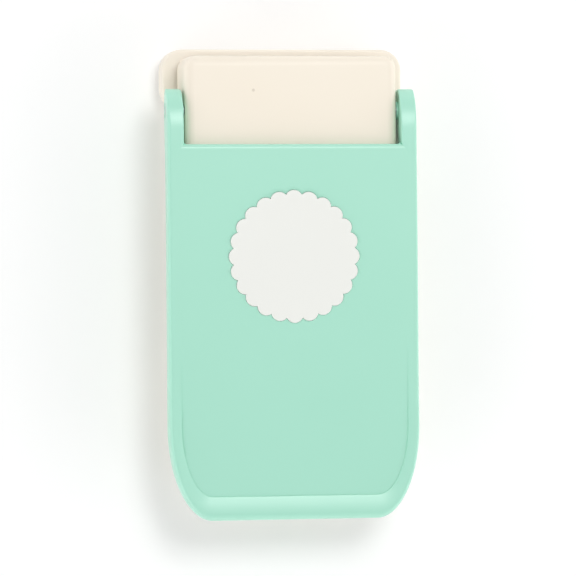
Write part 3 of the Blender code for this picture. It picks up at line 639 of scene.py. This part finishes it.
def rail_shell():
    """The rim, skirt and arms: one section carried from arm tip to arm tip round the free end.

    A point of the section is an inset a from the side, or b from the free end, and a height. On a corner,
    an ellipse quarter with angle phi, the insets shrink its two radii. The crown is a superellipse
    quarter. From the cap to the arms, the section turns from a rim with a wall into a full bar. Its
    rounds give way to a share of its height, which falls away at the arm's tip.
    """
    least_rise = 0.00003
    tip_round = 0.0007
    foot_round = 0.0005
    bar_round = 0.00035
    bar_from = fork_y - 0.004
    bar_to = fork_y + 0.001
    thick_from = skirt_break_y - 0.0015
    narrow_to = hinge_y + 0.003
    tuck = 0.0001
    dip = 0.0006
    sink = 0.0002

    # The path: the ear from just short of its tip, the side, the corner and half of the free end
    ear_turn = np.radians(np.linspace(88, 0, 30))
    y_side = np.concatenate(
        [
            hinge_y + ear_radius * np.sin(ear_turn),
            np.linspace(hinge_y - 0.0005, skirt_break_y - skirt_bend, 56),
            np.linspace(skirt_break_y - 2 * skirt_bend, free_end + corner_y, 16),
        ]
    )
    phi = np.radians(np.linspace(90, 0, 37))[1:]
    x_end = np.linspace(half_width - corner_x, 0, 7)[1:]
    straight = np.zeros(len(y_side))
    level = np.zeros(len(x_end))
    x0 = np.concatenate(
        [straight + half_width, half_width - corner_x * (1 - np.sin(phi)), x_end]
    )[:, None]
    y0 = np.concatenate(
        [y_side, free_end + corner_y * (1 - np.cos(phi)), level + free_end]
    )[:, None]
    sine = np.concatenate([straight + 1, np.sin(phi), level])[:, None]
    cosine = np.concatenate([straight, np.cos(phi), level + 1])[:, None]

    # What changes along the path: the height, the wall's thickness and how far the section is a bar
    relief = rim_rise * (1 - ease(y0, *rim_fade)) + least_rise
    top = upper_line(y0, field_z + relief)
    bottom = lower_line(y0)
    height = top - bottom
    bar = ease(y0, bar_from, bar_to)
    thick = wall + (arm_width - wall) * ease(y0, thick_from, skirt_break_y)
    past = np.clip((y0 - (handle_high.y - tip_round)) / tip_round, 0, 1)
    drawn_in = tip_round * (1 - np.sqrt(1 - past**2))
    foot = np.minimum(foot_round, 0.2 * height)
    crown = np.minimum(edge_height, 0.35 * height)
    inner_round = np.minimum(bar_round, 0.3 * height)

    def outer(z):
        """Inset of the outer wall, which leans in by the draft on its way down."""
        return drawn_in + draft * np.clip(handle_top - edge_height - z, 0, None)

    # Foot of the wall, inner side and outer side
    quarter = np.radians(np.linspace(0, 90, 6))
    inner_foot_z = bottom + foot * (1 - np.cos(quarter[::-1]))
    inner_foot_a = thick - drawn_in - foot * (1 - np.sin(quarter[::-1]))
    outer_foot_z = bottom + foot * (1 - np.cos(quarter))
    outer_foot_a = outer(outer_foot_z) + foot * (1 - np.sin(quarter))

    # Crown, from the outer wall up to the ridge, which comes 30% further out over the ear
    rise = np.radians(np.linspace(0, 90, 13))
    crown_z = top - crown + crown * np.sin(rise) ** (2 / crown_power)
    narrow = 1 - 0.3 * ease(y0, arm_slope_y, narrow_to)
    crown_share = ridge_share * narrow * (1 - np.abs(np.cos(rise)) ** (2 / crown_power))
    crown_a = outer(top - crown) * (1 - np.sin(rise)) + rim_width * crown_share
    crown_a = np.maximum(crown_a, drawn_in + rim_width * crown_share)

    # Roof: the rim's slope down to the field, or the flat top and the inner round of an arm
    fall = np.linspace(0, 1, 11)[1:]
    slope_share = ridge_share + (1 - ridge_share) * fall
    slope_z = top - relief * fall**1.5
    slope_a = rim_width * slope_share
    turn = np.radians(np.linspace(0, 90, 9))
    flat_a = rim_width * ridge_share * narrow
    end_a = arm_width - drawn_in
    bar_a = np.concatenate(
        [
            flat_a + (end_a - inner_round - flat_a) / 2,
            end_a - inner_round + inner_round * np.sin(turn),
        ],
        axis=1,
    )
    bar_z = np.concatenate([top, top - inner_round * (1 - np.cos(turn))], axis=1)
    roof_a = slope_a * (1 - bar) + bar_a * bar
    roof_z = slope_z * (1 - bar) + bar_z * bar

    # Inner side: three points that go down inside the plate, or down the inner face of an arm
    face_z = top - inner_round
    sunk_a = (rim_width + tuck) * (1 - bar) + end_a * bar
    wall_a = np.concatenate([sunk_a, sunk_a, thick - drawn_in], axis=1)
    wall_z = np.concatenate(
        [
            (field_z - dip) * (1 - bar) + (face_z - 0.15 * height) * bar,
            (plate_underside + sink) * (1 - bar) + (face_z - 0.3 * height) * bar,
            (plate_underside - sink) * (1 - bar) + (face_z - 0.4 * height) * bar,
        ],
        axis=1,
    )

    a = np.concatenate([inner_foot_a, outer_foot_a, crown_a, roof_a, wall_a], axis=1)
    z = np.concatenate([inner_foot_z, outer_foot_z, crown_z, roof_z, wall_z], axis=1)
    stretch = rim_end / rim_width
    rim_b = np.concatenate([crown_a, roof_a], axis=1) * stretch
    b = np.concatenate([inner_foot_a, outer_foot_a, rim_b, wall_a[:, :2] * stretch, wall_a[:, 2:]], axis=1)
    x = x0 - a * sine
    y = y0 + b * cosine
    right = np.stack([x, y, z], axis=-1)
    left = right[-2::-1] * (-1, 1, 1)
    return skin(np.concatenate([right, left]))


def drilled(shell, drill):
    """The first closed shell with the second taken out of it."""
    block = solid("block", [shell], mint)
    tool = solid("tool", [drill], mint)
    hole = block.modifiers.new("Bore", "BOOLEAN")
    hole.solver = "EXACT"
    hole.object = tool
    block.modifiers.remove(block.modifiers["Even shading"])
    bpy.context.view_layer.update()
    graph = bpy.context.evaluated_depsgraph_get()
    mesh = bpy.data.meshes.new_from_object(block.evaluated_get(graph))
    made = read_shell(mesh)
    for spent in (block, tool):
        bpy.data.objects.remove(spent)
    bpy.data.meshes.remove(mesh)
    return made


def to_centre(outline):
    """Unit vectors from an outline's points to the cut's centre."""
    way = cut_centre - outline
    return way / np.linalg.norm(way, axis=1, keepdims=True)


def plate_shell():
    """The handle's plate: rings from its border, buried in the rim and the arms, in to the scallops.

    A ring starts at the middle of the rear edge and runs clockwise: the rear edge, the side, an ellipse
    quarter and the free end. The rear edge is rounded, and where the plate meets the rim it dips into a
    fine groove that fades out towards the fork. In the middle is the marker's pocket.
    """
    buried = 0.003
    edge_back = 0.0012
    edge_drop = 0.0009
    edge_flat = 0.0009
    tuck = 0.0001
    groove_depth = 0.00028
    groove_fade = (-0.046, -0.014)
    groove_width = 0.0014
    pocket_spare = 0.00006
    pocket_depth = 0.001
    soft = 0.00012

    def ring(side, end, rear):
        """The plate's outline at an inset from the handle's side, its free end and the fork's edge."""
        rear_x = np.linspace(0, half_width - side, 49)
        side_y = np.linspace(fork_y - rear, free_end + corner_y, 89)[1:]
        phi = np.radians(np.linspace(90, 0, 37))[1:]
        end_x = np.linspace(half_width - corner_x, 0, 21)[1:]
        corner = half_width - corner_x + (corner_x - side) * np.sin(phi)
        x = np.concatenate([rear_x, np.full(len(side_y), half_width - side), corner, end_x])
        corner = free_end + corner_y - (corner_y - end) * np.cos(phi)
        rear_y = np.full(len(rear_x), fork_y - rear)
        y = np.concatenate([rear_y, side_y, corner, np.full(len(end_x), free_end + end)])
        right = np.stack([x, y], axis=-1)
        return np.concatenate([right, right[-2:0:-1] * (-1, 1)])

    rings = [lift(ring(buried, buried, 0), plate_underside)]
    for angle in np.radians(np.linspace(0, 90, 7)):
        flat = ring(buried, buried, edge_back * (1 - math.cos(angle)))
        rings.append(lift(flat, field_z - edge_drop * (1 - math.sin(angle))))
    groove = ring(rim_width - tuck, rim_end - 2 * tuck, edge_back + 2 * tuck)
    depth = groove_depth * (1 - ease(groove[:, 1], *groove_fade))
    rings.append(lift(groove, field_z - depth))
    inner = ring(rim_width + groove_width, rim_end + groove_width, edge_back + edge_flat)
    pocket = np.roll(scallops(pocket_spare)[::-1], 1, axis=0)
    for share in (0, 0.3, 0.6, 0.9):
        rings.append(lift(inner + share * (pocket - inner), field_z))
    inward = to_centre(pocket)
    rings.append(lift(pocket - soft * inward, field_z))
    rings.append(lift(pocket - 0.3 * soft * inward, field_z - 0.3 * soft))
    rings.append(lift(pocket, field_z - soft))
    rings.append(lift(pocket, field_z - pocket_depth))
    return skin(rings, "pole", "pole")


def fork_fillet(side):
    """The small fillet where the plate's rear edge meets an arm: a quarter circle cut out of a corner."""
    fillet = 0.001
    depth = 0.0012
    x = half_width - arm_width - fillet
    y = fork_y + fillet
    turn = np.radians(np.linspace(-90, 0, 9))
    curve = np.stack([x + fillet * np.cos(turn), y + fillet * np.sin(turn)], axis=-1)
    buried = [(x + 2 * fillet, y), (x + 2 * fillet, y - 2 * fillet), (x, y - 2 * fillet)]
    outline = np.concatenate([curve, buried]) * (side, 1)
    return skin([lift(outline, plate_underside), lift(outline, field_z - depth)])


def pin_collar(side):
    """The narrow collar round the pin on an arm's inner face, which keeps the arm off the upper shell."""
    outside = 0.0026
    proud = 0.0006
    buried = 0.001
    face = half_width - arm_width
    low = face - proud
    high = face + buried
    profile = np.array([(outside, low), (outside, high), (bore_radius, high), (bore_radius, low)])
    return skin(turned_about_x(profile * (1, side), (hinge_y, hinge_z)), "joined", "joined")


def soft_corners(points, size, steps=6):
    """A polygon whose corners give way to parabolas that start and end the given size from them.

    A parabola is (1 - t)^2 first + 2 t (1 - t) corner + t^2 last, with one point more than it has steps.
    """
    points = np.array(points)
    size = np.broadcast_to(size, len(points))[:, None]
    before = np.roll(points, 1, axis=0) - points
    after = np.roll(points, -1, axis=0) - points
    first = points + before / np.linalg.norm(before, axis=1, keepdims=True) * size
    last = points + after / np.linalg.norm(after, axis=1, keepdims=True) * size
    t = np.linspace(0, 1, steps + 1)[None, :, None]
    curve = (1 - t) ** 2 * first[:, None] + 2 * t * (1 - t) * points[:, None] + t**2 * last[:, None]
    return curve.reshape(-1, 2)


def bar_shell(profile, half, edge):
    """A closed side profile, (y, z) pairs, carried across the punch, with its two ends rounded.

    The ends' round is no larger than the tightest bend of the profile, which would fold over.
    """
    along = np.roll(profile, -1, axis=0) - np.roll(profile, 1, axis=0)
    inward = np.stack([-along[:, 1], along[:, 0]], axis=-1)
    inward /= np.linalg.norm(inward, axis=1, keepdims=True)
    turn = np.radians(np.linspace(0, 90, 5))
    inset = edge * (1 - np.sin(turn))
    depth = edge * (1 - np.cos(turn))
    across = np.concatenate([-half + depth, half - depth[::-1]])
    inset = np.concatenate([inset, inset[::-1]])
    flat = profile[None] + inset[:, None, None] * inward[None]
    x = np.broadcast_to(across[:, None], flat.shape[:2])
    return skin(np.dstack([x, flat]))


# The nose and the catch both reach half a millimetre up into the plate.
root_z = plate_underside + 0.0005


def nose_shell():
    """The nose: a short web under the plate that ends in a half round across the punch."""
    radius = 0.002
    half_length = 0.008
    edge = 0.0004
    centre = plate_underside - 0.0009
    turn = np.radians(np.linspace(180, 360, 25))
    low = np.stack([cut_y + radius * np.cos(turn), centre + radius * np.sin(turn)], axis=-1)
    top = [(cut_y + radius, root_z), (cut_y - radius, root_z)]
    return bar_shell(np.concatenate([low, top]), half_length, edge)


def catch_shell():
    """The catch: a post down to the lock, with a hook that points to the free end."""
    half_length = 0.004
    edge = 0.0001
    tenth = 0.0001
    back = cut_y - 0.0561
    front = back + 0.004
    tip = back - 0.0029
    floor = 0.0112
    barb = floor + 0.0017
    blunt = barb - 0.00085
    points = [
        (front, floor),
        (front, root_z),
        (back, root_z),
        (back, barb),
        (tip, barb),
        (tip, blunt),
        (back, floor),
    ]
    size = np.array([4, 2, 2, 2, 3, 3, 5]) * tenth
    return bar_shell(soft_corners(points, size), half_length, edge)


# A fresh, even green, glossier than the shells, which draws a soft bright line along its bends.
mint = moulded_abs("moulded mint ABS", "#ade5d0", "#aae3cd", 0.3)

# The drill for the pins is longer than the handle is wide.
drill_half = 0.05
drill_line = [(bore_radius, -drill_half), (bore_radius, drill_half)]
bore = skin(turned_about_x(drill_line, (hinge_y, hinge_z), 64))
handle_shells = [drilled(rail_shell(), bore), plate_shell(), nose_shell(), catch_shell()]
handle_shells += [make(side) for make in (fork_fillet, pin_collar) for side in (-1, 1)]
mint_handle = solid("mint_handle", handle_shells, mint)
fit(mint_handle, "lever", "handle", "lever_handle")

# Shape marker
# A flat inlay of white ABS, glued into its pocket and standing 0.3 mm proud. It shows the cut shape at
# true size, and a hair of shadow shows all round it.


def marker_shell():
    """The scallops carried up from the pocket's floor, with a small round at the upper edge."""
    edge = 0.0003
    last_share = 0.9
    outline = scallops(0)
    inward = to_centre(outline)
    rings = [lift(outline, marker_low.z)]
    for angle in np.radians(np.linspace(0, 90, 6)):
        flat = outline + edge * (1 - math.cos(angle)) * inward
        rings.append(lift(flat, marker_high.z - edge * (1 - math.sin(angle))))
    rings.append(lift(cut_centre + last_share * (outline - cut_centre), marker_high.z))
    return skin(rings, "flat", "pole")


# A flat, neutral white, the most matt of the plastics, so that no lamp shows in it.
white = moulded_abs("moulded white ABS", "#eff0eb", "#ecede8", 0.45)
shape_inlay = solid("shape_inlay", [marker_shell()], white)
fit(shape_inlay, "lever", "marker", "shape_marker")

# Lock slide
# Mint ABS like the handle: a flat tongue that hooks over the catch, and outside at the tail a push
# button with three ridges for the finger.


def lock_shells():
    """The tongue and the button, each a side profile carried across; the button's back is a wave.

    The wave is where cos(3 pi u) is above nothing, with u from -1 to 1 down the button.
    """
    ridge_count = 3
    ridge_height = 0.0004
    button_thickness = 0.0021
    button_round = 0.0004
    button_half = 0.008
    tongue_thickness = 0.0022
    tongue_round = 0.0002
    tongue_half = 0.006
    buried = 0.001
    edge = 0.0001
    low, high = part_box("lock_slide")
    middle = (low.z + high.z) / 2
    under = middle - tongue_thickness / 2
    over = middle + tongue_thickness / 2
    back = low.y + ridge_height
    front = back + button_thickness
    root = front - buried
    tongue = soft_corners(
        [(root, under), (high.y, under), (high.y, over), (root, over)], tongue_round
    )

    # The wave stops short of both ends. Below, it meets the seven points of a corner, and above, it
    # starts after the first three of another.
    share = np.linspace(0, 1, 61)[1:-1]
    wave = back - ridge_height * np.cos(math.pi * ridge_count * (2 * share - 1)).clip(0, None)
    rear = np.stack([wave, high.z - (high.z - low.z) * share], axis=-1)[4:-4]
    bends = soft_corners(
        [(back, high.z), (back, low.z), (front, low.z), (front, high.z)], button_round
    )
    button = np.concatenate([rear, bends[7:], bends[:3]])
    return [bar_shell(tongue, tongue_half, edge), bar_shell(button, button_half, edge)]


mint_lock = solid("mint_lock", lock_shells(), mint)
fit(mint_lock, "lock", "lock", "lock_slide")

# Table, lamps and surround
# A matt white table, a soft lamp nearly overhead on the mouth's right, two low soft lamps left and right
# of the free end, and a pale surround that is brightest at the horizon, as in a catalogue studio.

table_reach = 3
table_mesh = bpy.data.meshes.new("white_table")
table_corners = [
    (-table_reach, -table_reach, 0),
    (table_reach, -table_reach, 0),
    (table_reach, table_reach, 0),
    (-table_reach, table_reach, 0),
]
table_mesh.from_pydata(table_corners, [], [(0, 1, 2, 3)])
white_table = bpy.data.objects.new("white_table", table_mesh)
bpy.context.scene.collection.objects.link(white_table)

# Matt paper without a highlight. The camera, and what shines or is clear, see it pure white with a faint
# glow, while it throws a little less light back on the punch.
table_paint = bpy.data.materials.new("matt white paper sweep")
table_paint.use_nodes = True
paint_tree = table_paint.node_tree
paint = paint_tree.nodes["Principled BSDF"]
paint.inputs["Roughness"].default_value = 0.9
paint.inputs["Specular IOR Level"].default_value = 0.1
rays = add_node(paint_tree, "ShaderNodeLightPath").outputs
shown = add_node(
    paint_tree,
    "ShaderNodeMath",
    {"operation": "MAXIMUM"},
    links=[(rays["Is Glossy Ray"], 0), (rays["Is Transmission Ray"], 1)],
)
seen = add_node(
    paint_tree,
    "ShaderNodeMath",
    {"operation": "MAXIMUM"},
    links=[(rays["Is Camera Ray"], 0), (shown.outputs["Value"], 1)],
).outputs["Value"]
paper = add_node(
    paint_tree,
    "ShaderNodeMix",
    {"data_type": "RGBA"},
    {6: linear("#e6e6e6"), 7: linear("#ffffff")},
    [(seen, 0)],
)
paint_tree.links.new(paper.outputs[2], paint.inputs["Base Color"])
paint.inputs["Emission Color"].default_value = (1, 1, 1, 1)
paper_glow = 0.05
glow = add_node(paint_tree, "ShaderNodeMath", {"operation": "MULTIPLY"}, {1: paper_glow}, [(seen, 0)])
paint_tree.links.new(glow.outputs["Value"], paint.inputs["Emission Strength"])
table_mesh.materials.append(table_paint)

horizon_light = 1.65
overhead_light = 0.1
surround = bpy.data.worlds.new("pale surround")
bpy.context.scene.world = surround
surround.use_nodes = True
surround_tree = surround.node_tree
background = surround_tree.nodes["Background"]
background.inputs["Color"].default_value = (1, 1, 1, 1)
direction = add_node(surround_tree, "ShaderNodeTexCoord").outputs["Generated"]
height = add_node(surround_tree, "ShaderNodeSeparateXYZ", links=[(direction, 0)]).outputs["Z"]
tent = add_node(
    surround_tree,
    "ShaderNodeMapRange",
    inputs={"To Min": horizon_light, "To Max": overhead_light},
    links=[(height, "Value")],
)
surround_tree.links.new(tent.outputs["Result"], background.inputs["Strength"])

for name, place, size, energy in (
    ("key_softbox", (0.17, 0.41, 1.06), 0.4, 4.05),
    ("left_softbox", (-0.8, -0.55, 0.35), 0.7, 2.1),
    ("right_softbox", (0.8, -0.4, 0.3), 0.7, 1.9),
):
    lamp_data = bpy.data.lights.new(name, "AREA")
    lamp_data.size = size
    lamp_data.energy = energy
    lamp = bpy.data.objects.new(name, lamp_data)
    lamp.location = place
    lamp.rotation_euler = Vector(place).to_track_quat("Z", "Y").to_euler()
    bpy.context.scene.collection.objects.link(lamp)

# Camera
# It stands 1.2 m off, nearly overhead, tilted 10.6 degrees to the left, and turned a little, so that the
# punch's right side lies higher in the picture.

look_at = Vector((-0.0019, -0.00144, 0.025))
tilt = math.radians(10.6)
roll = math.radians(-0.47)
distance = 1.2
frame_width = 0.16485
sensor_width = 36
camera_data = bpy.data.cameras.new("camera")
camera_data.sensor_width = sensor_width
camera_data.lens = sensor_width * distance / frame_width
camera_data.clip_end = 20
camera = bpy.data.objects.new("camera", camera_data)
bpy.context.scene.collection.objects.link(camera)
back = Vector((-math.sin(tilt), 0, math.cos(tilt)))
up = Vector((0, 1, 0))
right = up.cross(back)
camera.matrix_world = (
    Matrix.Translation(look_at + back * distance)
    @ Matrix((right, up, back)).transposed().to_4x4()
    @ Matrix.Rotation(roll, 4, "Z")
)
bpy.context.scene.camera = camera
bpy.context.scene.view_settings.view_transform = "Standard"
